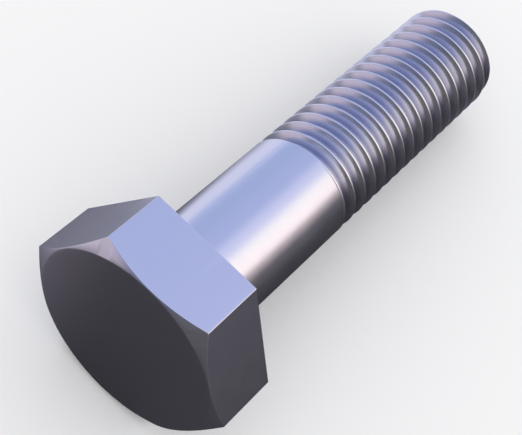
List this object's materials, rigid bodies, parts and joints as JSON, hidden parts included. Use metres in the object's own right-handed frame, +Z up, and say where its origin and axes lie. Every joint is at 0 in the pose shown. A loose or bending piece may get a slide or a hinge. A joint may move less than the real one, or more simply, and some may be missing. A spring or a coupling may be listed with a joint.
{
  "type": "half threaded hex bolt",
  "caption": "Hex head bolt with a chamfered head, a plain shank and a right-hand thread over the end half, lying on its side as it rests.",
  "frame": {"origin": "centre of the face under the head, on the bolt's own axis; the table that the bolt lies on is 8.465 mm below it", "axes": "+X runs level from the head towards the threaded end, +Z is up with the bolt lying at rest, and the bolt's own axis dips 5.18 degrees below +X in the XZ plane"},
  "size_m": [0.0471, 0.0196, 0.0175],
  "materials": {
    "bright_steel": "smooth bright steel, semi-polished"
  },
  "bodies": {
    "root": {"hex_bolt": "bright_steel"}
  },
  "joints": []
}
